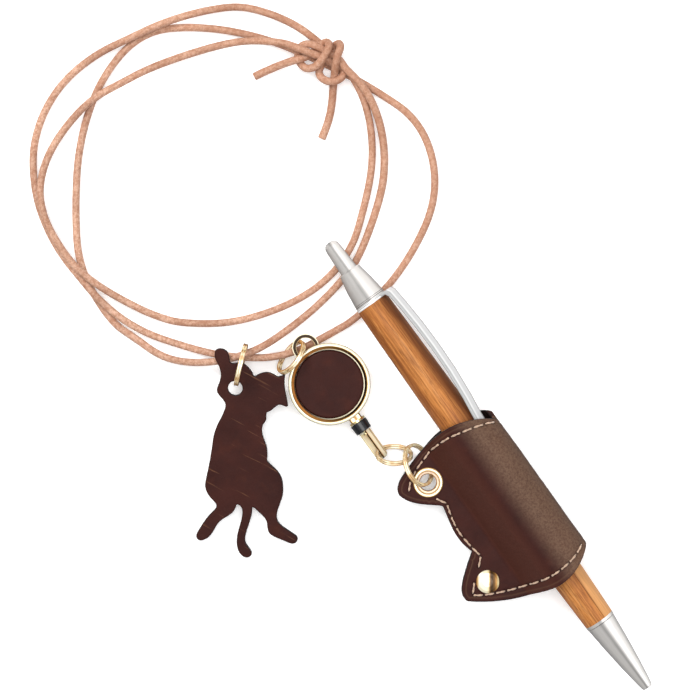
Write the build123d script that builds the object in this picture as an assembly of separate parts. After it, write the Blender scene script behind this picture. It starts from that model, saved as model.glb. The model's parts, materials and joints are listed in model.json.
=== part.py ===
from build123d import *

import math
import os

# A leather neck strap. A round cord, tied with two sliding knots, carries a cat charm and a
# small reel. The reel's line ends in a folded leather sleeve that holds a click pen.
#
# Millimetres. +Z is up from the surface that everything lies on, the origin is the centre of
# the reel's flat back, and +Y runs along the pen towards its push button.

# ---- neck cord ---------------------------------------------------------------------------
CORD_D = 2.0

# The cord's centreline, from one knot round three loose turns to the other knot.
NECK_ROUTE = [
    (46.5, 77.5, 5), (43.5, 82, 5.4), (39, 86, 5), (34, 89.5, 4), (27.5, 92.5, 2.6),
    (19, 95.5, 1.8), (9.5, 98, 2.4), (1, 99, 3.3), (-6.5, 100, 3.4), (-14.5, 99, 2.4),
    (-22.5, 96.5, 1.6), (-28.5, 93, 2.4), (-33.5, 88, 3.4), (-36.5, 81.5, 3.7),
    (-37.5, 74.5, 4.2), (-37.5, 67.5, 5.3), (-36.5, 62, 5.6), (-34.5, 56, 4.4),
    (-31.5, 49.5, 2.6), (-28, 43, 1.2), (-23, 36.5, 1), (-10, 27.5, 1), (9, 22.5, 1), (25, 25, 1),
    (38, 35.5, 1), (44.5, 42, 1), (49.5, 49.5, 1.4), (52.5, 57, 3.1), (53.5, 64, 3.7),
    (53, 70, 1.7), (51.5, 77.5, 1), (49.5, 84, 1), (45.5, 91, 1), (40, 97.5, 1),
    (32.5, 101.5, 1.2), (25.5, 104, 2.8), (18.5, 106, 3.4), (10.5, 107.5, 2.8), (1, 109.5, 1.2),
    (-10, 109, 1), (-19.5, 105.5, 1), (-27, 100, 1), (-32, 93.5, 1), (-36, 85.5, 1.2),
    (-38, 77, 1.5), (-38.5, 69.5, 2.6), (-38, 62.5, 3.4), (-37.5, 55.5, 3.6), (-35.5, 47, 3.5),
    (-32, 39.5, 2), (-27, 32.5, 1.2), (-21, 25, 1.6), (-15, 19.5, 3.1), (-8.5, 14.8, 3),
    (-1.4, 12.1, 2.2), (7.5, 11, 1.2), (17, 10, 1), (36, 14, 1), (54.5, 24.5, 1), (62, 42.5, 1),
    (56, 59, 1), (49, 72.5, 1), (40.5, 86.5, 1.2), (28.5, 99, 1), (14.5, 107.5, 1),
    (-2.5, 103.5, 1.2), (-17.5, 92.5, 1), (-29, 78, 1), (-37, 65, 1), (-38.5, 48.5, 1),
    (-35.5, 40.5, 1), (-33, 33, 1), (-28.5, 27.5, 1.8), (-22, 23, 3.9), (-15, 20, 5.5),
    (-8, 18.5, 3.7), (1, 18.5, 1.3), (9, 19, 1), (18, 20.5, 1), (26.5, 23, 1), (41.5, 33.5, 1),
    (48, 41, 1), (52, 48.5, 2), (54, 56, 4.2), (54, 61.5, 5.6), (53, 66.5, 5.4),
]
TAIL_LEFT_ROUTE = [
    (45.0, 75.5, 5.2), (39.8, 73.8, 4.2), (33.2, 71.3, 2.6), (27.4, 69.6, 1.3),
]
TAIL_RIGHT_ROUTE = [
    (49.0, 66.0, 5.4), (46.6, 62.6, 4.4), (43.6, 59.0, 2.8), (40.4, 55.7, 1.5), (37.0, 52.9, 1.0),
]
KNOT_LEFT_AT = (48.0, 75.8, 5.4)
KNOT_RIGHT_AT = (51.2, 68.4, 6.0)
KNOT_HALF = (4.0, 3.3, 2.3)

# ---- split rings ---------------------------------------------------------------------------
RING_WALL = 0.9
RING_BAND = 1.2
RING_R = 4.9
CORD_RING = dict(at=(-4.1, 11.9, 5.2), radius=RING_R, turned=198, tilt=67)
CHARM_RING = dict(at=(-16.3, 18.1, 5.9), radius=5.4, turned=220.8, tilt=90)
PULL_RING = dict(at=(3.1, -25.7, 4.8), radius=4.6, turned=144.4, tilt=62)
EYELET_RING = dict(at=(6.8, -31.7, 5.4), radius=5.6, turned=77.3, tilt=55)

# ---- cat charm -------------------------------------------------------------------------------
CHARM_HOLE_AT = (-21.15, 13.95, 6.1)
CHARM_TURNED = -35.6
CHARM_TIPPED = 6.35
CHARM_FRONT = 1.2
CHARM_BACKING = 0.6
CHARM_HOLE_R = 1.95
# The outline as seen from above, from the hole, with the forepaw up. Each row is one smooth
# stretch between two sharp corners.
CAT_OUTLINE = [
    [(5.0, 3.0), (3.6, 5.6), (1.0, 6.9), (-1.1, 6.8), (-1.7, 9.1), (-3.2, 10.6), (-5.2, 10.3),
     (-5.5, 8.5), (-4.3, 5.8), (-4.2, 1.7), (-5.0, -0.8), (-2.7, -4.3), (-2.9, -5.8),
     (-5.4, -11.2), (-6.4, -16.1), (-7.9, -24.0), (-8.3, -26.5), (-6.9, -29.8), (-5.2, -32.2),
     (-6.5, -33.9), (-10.2, -38.9), (-10.8, -40.5), (-10.2, -41.5), (-8.5, -41.3),
     (-6.9, -40.1), (-4.4, -36.4), (-0.9, -33.9), (0.2, -31.6)],
    [(0.2, -31.6), (1.6, -32.7), (1.7, -34.7), (0.5, -39.3), (0.2, -41.3), (1.8, -45.9),
     (3.0, -46.3), (4.2, -45.5), (2.6, -42.2), (2.6, -40.1), (4.0, -35.5), (4.3, -32.0)],
    [(4.3, -32.0), (6.8, -34.3), (8.3, -36.4), (8.8, -39.3), (11.7, -41.1), (13.8, -42.0),
     (16.1, -42.2), (16.7, -41.1), (15.5, -39.7), (13.0, -38.0), (11.3, -36.2), (11.1, -34.7),
     (12.8, -28.5), (12.8, -26.9), (12.5, -24.8), (11.4, -22.7), (10.1, -21.4), (8.5, -19.7)],
    [(8.5, -19.7), (8.6, -17.4), (8.3, -15.5), (7.7, -13.9), (7.2, -12.2)],
    [(7.2, -12.2), (7.2, -11.2), (7.5, -9.8), (8.2, -8.8), (8.3, -7.4), (8.5, -6.5)],
    [(8.5, -6.5), (9.7, -6.0), (10.8, -5.1), (11.7, -4.5)],
    [(11.7, -4.5), (12.8, -4.7), (13.6, -5.0), (14.2, -4.9)],
    [(14.2, -4.9), (13.9, -2.9), (13.5, -1.0), (13.3, 1.2), (13.3, 2.5), (13.5, 3.6)],
    [(13.5, 3.6), (12.3, 3.3), (11.4, 3.0)],
    [(11.4, 3.0), (10.4, 3.7), (8.5, 4.3), (6.4, 3.8), (5.0, 3.0)],
]

# ---- reel --------------------------------------------------------------------------------------
REEL_R = 11.1
REEL_H = 7.5
CASE_R = 10.6
CASE_WALL = 0.6
CASE_H = 5.5
INLAY_R = 9.2
INLAY_T = 0.7
TRAY_T = 0.5
LUG_AT = (0.6, 11.8, 4.9)
LUG_INNER = 2.55
LUG_OUTER = 3.65
LUG_H = 1.3
AXLE_R = 1.0
RUNNING_FIT = 0.06
DRUM_FLANGE_R = 9.0
DRUM_HUB_R = 4.6
DRUM_Z = (1.0, 3.9)
DRUM_FLANGE_T = 0.35
WINDING_R = 7.6
SPRING_Z = (4.05, 5.0)
SPRING_T = 0.2
SPRING_PITCH = 0.75
SPRING_TURNS = 7

# ---- line end ----------------------------------------------------------------------------------
LINE_X = 0.3
LINE_Z = 3.2
LINE_D = 0.7
NOZZLE_W = 3.4
NOZZLE_END = -12.2
WASHER_R = 2.3
STOPPER_Y = (-12.9, -15.8)
STOPPER_R = (2.45, 2.3)
STRAP_Y = (-15.9, -23.4)
STRAP_GAP = 1.9
STRAP_T = 0.5
STRAP_W = 1.9
STRAP_TURNED = 45

# ---- pen sleeve ----------------------------------------------------------------------------------
OUTER_T = 0.8
LINING_T = 0.5
EAR_Z = 4.6
TUNNEL_Z = 7.3
TUNNEL_HALF = 6.0
TUNNEL_RIGHT = 30.1
SEAM_X = 11.5
SLEEVE_Y = (-82.0, -25.0)
# The outline as seen from above, in stretches between corners: the mouth edge, the folded side,
# the far edge, the second ear, the hollow between the ears and back to the first ear.
SLEEVE_OUTLINE = [
    [(-2.2, -35.3), (-1.6, -33.7), (1.8, -31.5), (9.7, -29.0), (17.2, -27.8), (25.8, -30.0),
     (33.0, -35.6)],
    [(33.0, -35.6), (33.0, -73.2)],
    [(33.0, -73.2), (29.1, -76.3), (21.0, -79.2), (11.9, -77.9), (4.0, -74.6), (-3.9, -69.2)],
    [(-3.9, -69.2), (-4.0, -67.3), (-0.8, -63.3), (1.9, -61.2), (5.0, -59.0)],
    [(5.0, -59.0), (4.2, -55.9), (4.1, -52.5), (4.7, -48.9), (5.7, -44.5)],
    [(5.7, -44.5), (3.5, -42.6), (-0.8, -38.4), (-2.2, -35.3)],
]
# The mouth edge of the back half, which shows past the front half beside the fold.
BACK_MOUTH = [(-2.2, -35.3), (-1.6, -33.7), (1.8, -31.5), (9.7, -29.0), (17.2, -27.8),
              (24.0, -28.1), (29.0, -29.5), (33.0, -34.0)]
EYELET_AT = (6.2, -37.0)
EYELET_R = 4.05
EYELET_HOLE_R = 2.25
EYELET_TUBE_R = 2.5
RIVET_AT = (3.7, -68.1)
RIVET_R = 3.15
RIVET_POST_R = 1.0
STITCH_PITCH = 3.2
STITCH_L = 2.25
STITCH_R = 0.28
# The line of stitches, in stretches between corners, in the same order as the outline.
SEAM = [
    [(30.2, -34.0), (27.3, -32.6), (23.8, -31.5), (20.5, -30.7), (17.6, -30.1), (14.3, -30.1),
     (11.6, -30.4), (8.9, -31.3), (6.2, -32.1), (3.8, -33.4), (1.5, -34.8), (0.5, -36.3)],
    [(0.5, -36.3), (2.0, -37.9), (3.6, -39.8), (5.0, -41.4), (6.3, -43.1), (6.9, -44.8)],
    [(6.9, -44.8), (6.1, -47.5), (5.4, -50.4), (5.2, -54.0), (5.5, -57.5), (6.2, -61.3)],
    [(6.2, -61.3), (4.9, -62.7), (3.0, -64.2), (0.6, -66.2), (-1.7, -68.7)],
    [(-1.7, -68.7), (-0.1, -69.9), (2.7, -71.4), (4.9, -72.4), (7.8, -73.6), (12.4, -75.0),
     (18.2, -75.9), (23.5, -75.8), (28.2, -74.7), (30.2, -73.8)],
]

# ---- pen -------------------------------------------------------------------------------------------
PEN_X = 22.1
PEN_Z = 7.3
PEN_TOP = 31.0
CLIP_TURNED = 28
CLIP_W = 4.8


# ---- helpers -----------------------------------------------------------------------------------------
def cord_tube(points, diameter):
    """A tube of straight runs joined by arcs as large as the runs beside each point allow."""
    corners = [Vector(*p) for p in points]
    runs = [b - a for a, b in zip(corners, corners[1:])]
    radii = []
    for before, after in zip(runs, runs[1:]):
        half_turn = math.radians(before.get_angle(after)) / 2
        radii.append(0.45 * min(before.length, after.length) / math.tan(half_turn))
    path = FilletPolyline(*corners, radius=radii)
    section = Plane(origin=path @ 0, z_dir=path % 0) * Circle(diameter / 2)
    tube = sweep(section, path=path)
    share = tube.volume / (math.pi * diameter**2 / 4 * path.length)
    print(f"cord {path.length:.0f} mm, least radius {min(radii):.1f} mm, volume share {share:.4f}")
    return tube


def turned(profile, centre=(0, 0, 0)):
    """A closed profile of (radius, height) points, turned about a vertical axis."""
    face = Plane.XZ * make_face(Polyline(*profile, close=True))
    return Pos(*centre) * revolve(face, Axis.Z)


def tube(outer, inner, low, high, at=(0, 0)):
    """An upright tube, or a disc where there is no bore."""
    solid = Pos(at[0], at[1], low) * extrude(Circle(outer), high - low)
    if inner:
        solid -= Pos(at[0], at[1], low) * extrude(Circle(inner), high - low)
    return solid


def along_line(shape):
    """Stands a shape, built upright at the origin, on the line's axis with +Z along -Y."""
    return Plane(origin=(LINE_X, 0, LINE_Z), x_dir=(1, 0, 0), z_dir=(0, -1, 0)) * shape


def along_pen(profile):
    """A closed profile of (distance from the pen's top, radius), turned about the pen's axis."""
    face = make_face(Polyline(*[(radius, -along) for along, radius in profile], close=True))
    return Pos(PEN_X, PEN_TOP, PEN_Z) * revolve(face, Axis.Y)


def split_ring(at, radius, turned, tilt):
    """A split ring of two coils. Its level diameter points along `turned`, and the side 90
    degrees further round is raised by `tilt`."""
    coil_h = RING_BAND / 2
    section = RectangleRounded(RING_WALL, coil_h + 0.06, 0.22)
    both = Pos(radius, coil_h / 2) * section + Pos(radius, -coil_h / 2) * section
    ring = revolve(Plane.XZ * both, Axis.Z)
    end_gap = Box(RING_WALL * 2, 0.25, coil_h)
    ring -= Rot(0, 0, 20) * Pos(radius, 0, coil_h * 0.6) * end_gap
    ring -= Rot(0, 0, 50) * Pos(radius, 0, -coil_h * 0.6) * end_gap
    level = Vector(1, 0, 0).rotate(Axis.Z, turned)
    raised = Vector(0, 1, 0).rotate(Axis.X, tilt).rotate(Axis.Z, turned)
    return Plane(origin=at, x_dir=level, z_dir=level.cross(raised)) * ring


def outline_face(stretches):
    """A flat face bounded by smooth stretches that meet in corners."""
    edges = []
    for points in stretches:
        edges.append(Line(*points) if len(points) == 2 else Spline(*points))
    return make_face(Wire(edges))


# ---- neck cord -----------------------------------------------------------------------------------------
def knot(at, turned):
    lump = scale(Sphere(1), by=KNOT_HALF)
    return Pos(*at) * Rot(0, 0, turned) * lump


# ---- charm -----------------------------------------------------------------------------------------------
def charm_layer(low, high):
    face = outline_face(CAT_OUTLINE) - Circle(CHARM_HOLE_R)
    plate = Pos(0, 0, low) * extrude(face, high - low)
    place = Pos(*CHARM_HOLE_AT) * Rot(0, 0, CHARM_TURNED) * Rot(CHARM_TIPPED, 0, 0)
    return place * plate


# ---- reel ------------------------------------------------------------------------------------------------
def reel_case():
    shell = tube(CASE_R, 0, 0, CASE_H)
    shell = fillet(shell.edges().group_by(Axis.Z)[0], 1.4)
    shell -= tube(CASE_R - CASE_WALL, 0, 0.8, CASE_H)
    return shell - along_line(extrude(Circle(LINE_D), CASE_R + 1))


def reel_bezel():
    rim = [(REEL_R, 6.3), (11.0, 6.8), (10.8, 7.2), (10.55, 7.35), (10.35, 7.35), (10.15, 7.15)]
    lip = [(9.95, 6.6), (9.6, 6.2), (9.5, 6.95), (9.35, 7.0), (9.25, 6.85), (9.25, CASE_H),
           (CASE_R, CASE_H)]
    skirt = [(CASE_R, 3.9), (REEL_R - 0.1, 3.9), (REEL_R, 4.3)]
    return turned(rim + lip + skirt)


def lug_ring():
    rim = Pos(*LUG_AT) * Pos(0, 0, -LUG_H / 2) * (
        extrude(Circle(LUG_OUTER) - Circle(LUG_INNER), LUG_H)
    )
    rim = fillet(rim.edges(), 0.3)
    return rim - tube(REEL_R, 0, 0, REEL_H)


def outlet_nozzle():
    length = -NOZZLE_END - CASE_R + 2
    block = Pos(LINE_X, NOZZLE_END + length / 2, LINE_Z) * Box(NOZZLE_W, length, 3.6)
    block = fillet(block.edges().filter_by(Axis.Y), 0.5)
    block -= tube(CASE_R, 0, 0, REEL_H) + tube(REEL_R, 0, 3.85, REEL_H)
    return block - along_line(extrude(Circle(LINE_D), REEL_R * 2))


def line_drum():
    low, high = DRUM_Z
    bore = AXLE_R + RUNNING_FIT
    spool = tube(DRUM_FLANGE_R, bore, low, low + DRUM_FLANGE_T)
    spool += tube(DRUM_HUB_R, bore, low, high)
    return spool + tube(DRUM_FLANGE_R, bore, high - DRUM_FLANGE_T, high)


def power_spring():
    """A flat spiral of half circles, wound from the axle out to the case."""
    inner_r = AXLE_R + 0.3
    half_pitch = SPRING_PITCH / 2
    sides = ([], [])
    for half in range(2 * SPRING_TURNS):
        way = 1 if half % 2 == 0 else -1
        centre = 0 if way > 0 else half_pitch
        for side, extra in zip(sides, (0, SPRING_T)):
            r = inner_r + half * half_pitch + extra
            side.append(
                ThreePointArc((centre + way * r, 0), (centre, way * r), (centre - way * r, 0))
            )
    start = Line(sides[0][0] @ 0, sides[1][0] @ 0)
    end = Line(sides[0][-1] @ 1, sides[1][-1] @ 1)
    strip = make_face(Wire([*sides[0], *sides[1], start, end]))
    return Pos(0, 0, SPRING_Z[0]) * extrude(strip, SPRING_Z[1] - SPRING_Z[0])


# ---- line end ----------------------------------------------------------------------------------------------
def line_stopper():
    near, far = STOPPER_Y
    cone = Pos(0, 0, -(near + far) / 2) * Cone(*STOPPER_R, near - far)
    cone = fillet(cone.edges(), 0.25)
    return along_line(cone - Cylinder(LINE_D / 2 + 0.05, 60))


def swivel_strap():
    """A strip folded into a U, with its two ends closed by a plate that turns on a pin."""
    top, bend = -STRAP_Y[0], -STRAP_Y[1]
    inner_r = STRAP_GAP / 2
    outer_r = inner_r + STRAP_T
    outer = Pos(0, (top + bend) / 2) * Rectangle(2 * outer_r, bend - top) + Pos(0, bend) * Circle(outer_r)
    hollow_top = top + 0.5
    inner = Pos(0, (hollow_top + bend) / 2) * Rectangle(2 * inner_r, bend - hollow_top)
    inner += Pos(0, bend) * Circle(inner_r)
    strip = extrude(outer - inner, STRAP_W / 2, both=True)
    upright = Rot(90, 0, 0) * strip
    upright -= Cylinder(0.55, 60)
    return along_line(Rot(0, 0, STRAP_TURNED) * upright)


def swivel_pin():
    top = -STRAP_Y[0]
    shaft = Pos(0, 0, top - 0.1) * extrude(Circle(0.48), 0.65)
    head = Pos(0, 0, top + 0.55) * extrude(Circle(0.85), 0.35)
    return along_line(shaft + head)


# ---- sleeve --------------------------------------------------------------------------------------------------
def sleeve_band(inset, thickness):
    """The folded leather between two distances from its inside, as one long extrusion."""
    low, high = TUNNEL_Z - TUNNEL_HALF, TUNNEL_Z + TUNNEL_HALF
    glue = 0.03
    inside = FilletPolyline(
        (-10, EAR_Z - glue),
        (SEAM_X, EAR_Z - glue),
        (15.5, low),
        (TUNNEL_RIGHT, low),
        (TUNNEL_RIGHT, high),
        (18.5, high),
        (SEAM_X, EAR_Z + glue),
        (-10, EAR_Z + glue),
        radius=[3, 5, TUNNEL_HALF - 0.02, TUNNEL_HALF - 0.02, 5, 3],
    )
    hollow = make_face([*inside.edges(), Line(inside @ 1, inside @ 0)])
    lower_side = offset(hollow, inset) if inset else hollow
    band = offset(hollow, inset + thickness) - lower_side
    length = SLEEVE_Y[1] - SLEEVE_Y[0]
    return Plane(origin=(0, SLEEVE_Y[1], 0), x_dir=(1, 0, 0), z_dir=(0, -1, 0)) * extrude(band, length)


def sleeve_layer(inset, thickness):
    back_outline = [BACK_MOUTH, [BACK_MOUTH[-1], SLEEVE_OUTLINE[1][1]], *SLEEVE_OUTLINE[2:]]
    front = Pos(0, 0, TUNNEL_Z) * extrude(outline_face(SLEEVE_OUTLINE), TUNNEL_Z + 2)
    ears = extrude(outline_face(SLEEVE_OUTLINE), TUNNEL_Z)
    back = extrude(outline_face(back_outline), TUNNEL_Z) & Pos(30, -30, 0) * Box(24, 24, 40)
    layer = sleeve_band(inset, thickness) & (front + ears + back)
    layer -= tube(EYELET_TUBE_R, 0, 0, TUNNEL_Z, EYELET_AT)
    return layer - tube(RIVET_POST_R, 0, 0, TUNNEL_Z, RIVET_AT)


def sleeve_top(x):
    """The height of the sleeve's upper surface, which drops past the crown of the fold."""
    ear, tunnel_r = EAR_Z + OUTER_T + LINING_T, TUNNEL_HALF + OUTER_T + LINING_T
    past_crown = max(0, x - (TUNNEL_RIGHT - TUNNEL_HALF))
    return min(max(ear, ear + (x - 11.1) * 1.275), TUNNEL_Z + math.sqrt(tunnel_r**2 - past_crown**2))


def stitches():
    """Short lengths of thread along the open edges, each lying on the leather."""
    laid = []
    for points in SEAM:
        seam = Spline(*points)
        count = round(seam.length / STITCH_PITCH)
        for i in range(count):
            ends = [seam @ ((i + share / STITCH_PITCH) / count) for share in (0.4, 0.4 + STITCH_L)]
            from_eyelet = min(math.dist((e.X, e.Y), EYELET_AT) for e in ends)
            from_rivet = min(math.dist((e.X, e.Y), RIVET_AT) for e in ends)
            if from_eyelet < EYELET_R + 0.4 or from_rivet < RIVET_R + 0.35:
                continue
            a, b = [Vector(e.X, e.Y, sleeve_top(e.X) + 0.08) for e in ends]
            rod = Solid.make_cylinder(STITCH_R, (b - a).length, Plane(origin=a, z_dir=b - a))
            laid.append(rod)
    return Compound(laid)


def eyelet_front():
    skin = OUTER_T + LINING_T + 0.03
    top = EAR_Z + skin
    return turned(
        [(EYELET_HOLE_R, EAR_Z - skin - 0.4), (EYELET_TUBE_R, EAR_Z - skin - 0.4),
         (EYELET_TUBE_R, top), (EYELET_R, top), (EYELET_R - 0.1, top + 0.35), (3.7, top + 0.6),
         (3.4, top + 0.6), (3.15, top + 0.35), (2.95, top + 0.35), (2.75, top + 0.5),
         (2.5, top + 0.45), (EYELET_HOLE_R, top)],
        (*EYELET_AT, 0),
    )


def eyelet_back():
    low = EAR_Z - OUTER_T - LINING_T - 0.03
    return tube(EYELET_R - 0.3, EYELET_TUBE_R, low - 0.4, low, EYELET_AT)


def rivet_cap():
    top = EAR_Z + OUTER_T + LINING_T + 0.03
    return turned(
        [(0, top), (RIVET_R, top), (RIVET_R - 0.1, top + 0.3), (2.4, top + 0.75),
         (1.3, top + 1.0), (0, top + 1.1)],
        (*RIVET_AT, 0),
    )


def rivet_post():
    skin = OUTER_T + LINING_T + 0.03
    foot = tube(RIVET_R - 0.2, 0, EAR_Z - skin - 0.6, EAR_Z - skin, RIVET_AT)
    return foot + tube(RIVET_POST_R, 0, EAR_Z - skin - 0.1, EAR_Z + skin, RIVET_AT)


# ---- pen -------------------------------------------------------------------------------------------------------
def pen_plunger():
    return along_pen(
        [(0, 0), (0.05, 0.9), (0.4, 1.55), (1.1, 2.0), (2.2, 2.15), (9.2, 2.45), (13.2, 2.45),
         (13.2, 0)]
    )


def push_rod():
    return along_pen([(13.2, 0), (13.2, 2.0), (23.0, 2.0), (23.0, 1.6), (14.5, 1.6), (14.5, 0)])


def upper_cone():
    return along_pen(
        [(9.4, 2.5), (9.3, 2.9), (9.6, 3.1), (14.0, 3.95), (19.2, 4.55), (19.2, 3.7),
         (26.0, 3.7), (26.0, 2.9), (14.0, 2.9), (14.0, 2.5)]
    )


def pen_clip():
    """A collar held between the cone and the barrel, and a broad strap that springs from it."""
    collar = along_pen([(19.2, 3.75), (19.2, 4.6), (20.2, 4.65), (20.2, 3.75)])
    outside = [(19.2, 4.4), (19.35, 6.4), (20.4, 7.1), (25.0, 7.55), (32.0, 8.0), (39.0, 8.15),
               (47.0, 7.95), (55.0, 7.2), (61.0, 6.35), (64.5, 6.1)]
    inside = [(64.5, 5.4), (60.8, 5.65), (55.0, 6.5), (47.0, 7.25), (39.0, 7.45), (32.0, 7.3),
              (25.0, 6.85), (21.4, 6.4), (20.2, 5.7), (20.2, 4.4)]
    side = make_face(Polyline(*[(r, -t) for t, r in outside + inside], close=True))
    strap = extrude(side, CLIP_W / 2, both=True)
    long_sides = strap.faces().filter_by(Axis.Z).edges()
    strap = chamfer(long_sides, 0.2)
    keep_out = Rot(90, 0, 0) * Cylinder(4.5, 60)
    strap -= keep_out
    place = Pos(PEN_X, PEN_TOP, PEN_Z) * Rot(0, -CLIP_TURNED, 0)
    return collar + place * strap


def pen_barrel():
    return along_pen(
        [(20.2, 3.75), (20.2, 4.62), (30.0, 4.8), (50.0, 5.08), (75.0, 5.15), (95.0, 5.0),
         (110.0, 4.65), (124.5, 4.2), (124.5, 3.3), (26.2, 3.3), (26.2, 3.75)]
    )


def barrel_liner():
    return along_pen([(26.2, 2.8), (26.2, 3.3), (121.0, 3.3), (121.0, 2.8)])


def nose_cone():
    return along_pen(
        [(124.5, 4.15), (125.3, 4.2), (125.5, 4.05), (132.0, 3.45), (139.0, 2.65),
         (144.5, 1.85), (146.6, 1.5), (147.0, 1.3), (147.0, 1.22), (141.0, 1.22),
         (138.5, 2.15), (121.2, 2.15), (121.2, 3.25), (124.5, 3.25)]
    )


def refill_tube():
    return along_pen([(23.0, 0), (23.0, 1.55), (119.0, 1.55), (119.0, 0)])


def refill_tip():
    return along_pen([(119.0, 0), (119.0, 1.4), (136.0, 1.15), (145.2, 1.15), (146.4, 0.4), (146.4, 0)])


def refill_spring():
    wire_r, coil_r, start, end, turns = 0.2, 1.85, 119.5, 137.8, 9
    coil = Helix(pitch=(end - start) / turns, height=end - start, radius=coil_r)
    wire = sweep(Plane(origin=coil @ 0, z_dir=coil % 0) * Circle(wire_r), path=coil, is_frenet=True)
    return Pos(PEN_X, PEN_TOP - start, PEN_Z) * Rot(90, 0, 0) * wire


# ---- every piece, by node ------------------------------------------------------------------------------------------
PIECES = {
    "neck_cord": cord_tube(NECK_ROUTE, CORD_D),
    "tail_left": cord_tube(TAIL_LEFT_ROUTE, CORD_D),
    "tail_right": cord_tube(TAIL_RIGHT_ROUTE, CORD_D),
    "knot_left": knot(KNOT_LEFT_AT, 20),
    "knot_right": knot(KNOT_RIGHT_AT, 75),
    "charm_ring": split_ring(**CHARM_RING),
    "cat_charm": charm_layer(-CHARM_FRONT / 2 + 0.3, CHARM_FRONT / 2 + 0.3),
    "charm_backing": charm_layer(-CHARM_FRONT / 2 + 0.3 - CHARM_BACKING, -CHARM_FRONT / 2 + 0.3),
    "cord_ring": split_ring(**CORD_RING),
    "reel_case": reel_case(),
    "reel_bezel": reel_bezel(),
    "lug_ring": lug_ring(),
    "inlay_tray": tube(INLAY_R, 0, CASE_H + 0.1, CASE_H + 0.1 + TRAY_T),
    "leather_inlay": tube(INLAY_R, 0, CASE_H + 0.1 + TRAY_T, CASE_H + 0.1 + TRAY_T + INLAY_T),
    "spring_cover": tube(CASE_R - CASE_WALL, 0, 5.15, CASE_H),
    "reel_axle": tube(AXLE_R, 0, 0.8, 5.15),
    "line_drum": line_drum(),
    "line_winding": tube(
        WINDING_R, DRUM_HUB_R, DRUM_Z[0] + DRUM_FLANGE_T, DRUM_Z[1] - DRUM_FLANGE_T
    ),
    "power_spring": power_spring(),
    "outlet_nozzle": outlet_nozzle(),
    "nozzle_washer": along_line(
        Pos(0, 0, -NOZZLE_END) * extrude(Circle(WASHER_R) - Circle(LINE_D), 0.6)
    ),
    "pull_line": along_line(Pos(0, 0, 9.6) * extrude(Circle(LINE_D / 2), 5.2)),
    "line_stopper": line_stopper(),
    "swivel_pin": swivel_pin(),
    "swivel_strap": swivel_strap(),
    "pull_ring": split_ring(**PULL_RING),
    "eyelet_ring": split_ring(**EYELET_RING),
    "sleeve_leather": sleeve_layer(LINING_T, OUTER_T),
    "sleeve_lining": sleeve_layer(0, LINING_T),
    "sleeve_stitching": stitches(),
    "eyelet_front": eyelet_front(),
    "eyelet_back": eyelet_back(),
    "rivet_cap": rivet_cap(),
    "rivet_post": rivet_post(),
    "pen_plunger": pen_plunger(),
    "push_rod": push_rod(),
    "upper_cone": upper_cone(),
    "pen_clip": pen_clip(),
    "pen_barrel": pen_barrel(),
    "barrel_liner": barrel_liner(),
    "nose_cone": nose_cone(),
    "refill_tube": refill_tube(),
    "refill_tip": refill_tip(),
    "refill_spring": refill_spring(),
}

os.makedirs("parts", exist_ok=True)
for node, shape in PIECES.items():
    export_step(shape, f"parts/{node}.step")
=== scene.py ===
import json
import math

import bmesh
import bpy
import numpy as np
from mathutils import Euler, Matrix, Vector, noise
from mathutils.bvhtree import BVHTree
from mathutils.kdtree import KDTree


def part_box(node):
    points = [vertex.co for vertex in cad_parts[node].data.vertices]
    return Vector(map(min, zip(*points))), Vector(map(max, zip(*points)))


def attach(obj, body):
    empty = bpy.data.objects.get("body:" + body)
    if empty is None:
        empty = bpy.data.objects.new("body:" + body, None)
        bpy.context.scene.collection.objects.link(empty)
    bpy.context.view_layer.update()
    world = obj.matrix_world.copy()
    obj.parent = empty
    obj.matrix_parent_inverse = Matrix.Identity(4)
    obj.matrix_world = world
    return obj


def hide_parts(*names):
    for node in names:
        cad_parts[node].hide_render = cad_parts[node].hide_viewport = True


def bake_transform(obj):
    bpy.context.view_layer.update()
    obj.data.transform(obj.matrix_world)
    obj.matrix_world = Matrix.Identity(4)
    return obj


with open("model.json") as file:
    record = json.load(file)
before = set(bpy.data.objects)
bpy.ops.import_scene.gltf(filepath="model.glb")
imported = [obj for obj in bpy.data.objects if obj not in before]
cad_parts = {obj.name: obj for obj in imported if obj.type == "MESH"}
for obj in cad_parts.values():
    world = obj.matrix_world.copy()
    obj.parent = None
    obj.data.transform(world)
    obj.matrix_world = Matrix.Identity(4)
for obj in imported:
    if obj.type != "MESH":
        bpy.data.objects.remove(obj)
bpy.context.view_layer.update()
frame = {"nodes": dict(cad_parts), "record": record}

# A leather neck strap with a reel, a cat charm and a stitched sleeve that holds a wooden pen.
# Metres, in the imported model's frame. +Z is up from the surface, +Y runs along the pen.

MM = 0.001
NODES = frame["nodes"]
SCENE = bpy.context.scene

# ---- camera, lights and floor ---------------------------------------------------------------
LOOK_AT = Vector((9.88 * MM, 4.24 * MM, 4 * MM))
CAMERA_UP = Vector((0.5825, 0.8128, 0))
VIEW_WIDTH = 189 * MM
LENS = 135
SENSOR = 36


def make_camera():
    data = bpy.data.cameras.new("camera")
    data.lens, data.sensor_width = LENS, SENSOR
    data.clip_start, data.clip_end = 0.05, 20
    camera = bpy.data.objects.new("camera", data)
    SCENE.collection.objects.link(camera)
    camera.location = LOOK_AT + Vector((0, 0, VIEW_WIDTH * LENS / SENSOR))
    camera.rotation_euler = Euler((0, 0, -math.atan2(CAMERA_UP.x, CAMERA_UP.y)))
    SCENE.camera = camera


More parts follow.
